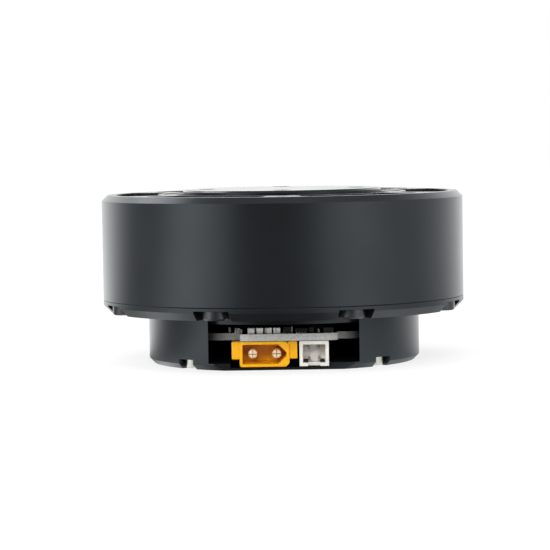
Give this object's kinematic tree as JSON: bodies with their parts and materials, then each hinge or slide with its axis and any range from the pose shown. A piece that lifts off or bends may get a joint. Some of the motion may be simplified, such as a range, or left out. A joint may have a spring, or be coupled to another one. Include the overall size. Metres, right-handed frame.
{
  "type": "robot joint actuator",
  "caption": "Round electric robot joint actuator: a pancake motor with a nested planetary reduction, a turning output flange and a rear driver cover with connectors.",
  "frame": {"origin": "centre of the underside of the driver cover, on the turning axis", "axes": "+Z along the output axis, out of the output flange; -Y towards the connector window"},
  "size_m": [0.08, 0.08, 0.038],
  "materials": {
    "anodised_black": "satin black anodised aluminium, slightly blue-green",
    "anodised_cap": "satin black anodised aluminium",
    "anodised_cover": "satin black anodised aluminium",
    "black_oxide": "black oxide steel",
    "zinc_steel": "zinc plated steel",
    "anodised_flange": "satin black anodised, bright worn top face",
    "carrier_steel": "machined steel",
    "gear_steel": "ground gear steel",
    "bearing_steel": "polished bearing steel",
    "bronze": "sintered bronze",
    "lamination": "stacked electrical steel",
    "copper_winding": "enamelled copper wire",
    "magnet_nickel": "nickel plated magnet",
    "rotor_iron": "turned iron",
    "board": "glass fibre board with a pale edge",
    "chip_black": "moulded chip package",
    "chip_pale": "ceramic chip with tinned ends",
    "can_aluminium": "capacitor can",
    "connector_amber": "amber nylon",
    "connector_white": "white nylon",
    "gold_contact": "gold plated contact",
    "tin_contact": "tin plated contact",
    "lead_insulation": "silicone insulation"
  },
  "bodies": {
    "motor_body": {"motor_housing": "anodised_black", "rear_end_cap": "anodised_cap", "driver_cover": "anodised_cover", "housing_screws": "black_oxide", "cover_screws": "zinc_steel", "output_bearing_outer": "bearing_steel", "bearing_retainer": "anodised_cap", "ring_gear": "gear_steel", "stator_core": "lamination", "stator_windings": "copper_winding", "rear_rotor_bearing_outer": "bearing_steel", "driver_board": "board", "board_spacers": "zinc_steel", "board_screws": "zinc_steel", "filter_capacitors": "chip_pale", "mosfets": "chip_black", "encoder_chip": "chip_black", "controller_chip": "chip_black", "bulk_capacitors": "can_aluminium", "power_connector_housing": "connector_amber", "power_connector_pins": "gold_contact", "signal_connector_housing": "connector_white", "signal_connector_pins": "tin_contact", "phase_leads": "lead_insulation"},
    "output": {"output_flange": "anodised_flange", "planet_carrier": "carrier_steel", "carrier_plate": "carrier_steel", "planet_pins": "bearing_steel", "carrier_screws": "black_oxide", "output_bearing_inner": "bearing_steel", "front_rotor_bearing_outer": "bearing_steel"},
    "rotor": {"rotor_bell": "rotor_iron", "rotor_magnets": "magnet_nickel", "sun_gear": "gear_steel", "encoder_magnet": "magnet_nickel", "rear_rotor_bearing_inner": "bearing_steel", "front_rotor_bearing_inner": "bearing_steel"},
    "bearing_rollers": {"output_bearing_rollers": "bearing_steel"},
    "planet_1": {"planet_gear_1": "gear_steel", "planet_bush_1": "bronze"},
    "planet_2": {"planet_gear_2": "gear_steel", "planet_bush_2": "bronze"},
    "planet_3": {"planet_gear_3": "gear_steel", "planet_bush_3": "bronze"}
  },
  "joints": [
    {"name": "output_spin", "type": "hinge", "parent": "motor_body", "child": "output", "pos_m": [0, 0, 0.0335], "axis": [0, 0, 1], "continuous": true},
    {"name": "rotor_spin", "type": "hinge", "parent": "motor_body", "child": "rotor", "pos_m": [0, 0, 0.0121], "axis": [0, 0, 1], "continuous": true},
    {"name": "bearing_roller_spin", "type": "hinge", "parent": "motor_body", "child": "bearing_rollers", "pos_m": [0, 0, 0.0335], "axis": [0, 0, 1], "continuous": true},
    {"name": "planet_1_spin", "type": "hinge", "parent": "output", "child": "planet_1", "pos_m": [0, -0.0108, 0.0233], "axis": [0, 0, 1], "continuous": true},
    {"name": "planet_2_spin", "type": "hinge", "parent": "output", "child": "planet_2", "pos_m": [0.00935, 0.0054, 0.0233], "axis": [0, 0, 1], "continuous": true},
    {"name": "planet_3_spin", "type": "hinge", "parent": "output", "child": "planet_3", "pos_m": [-0.00935, 0.0054, 0.0233], "axis": [0, 0, 1], "continuous": true}
  ],
  "couplings": [
    {"joint": "rotor_spin", "follows": "output_spin", "ratio": 6},
    {"joint": "bearing_roller_spin", "follows": "output_spin", "ratio": 0.48162},
    {"joint": "planet_1_spin", "follows": "output_spin", "ratio": -2.5},
    {"joint": "planet_2_spin", "follows": "output_spin", "ratio": -2.5},
    {"joint": "planet_3_spin", "follows": "output_spin", "ratio": -2.5}
  ]
}
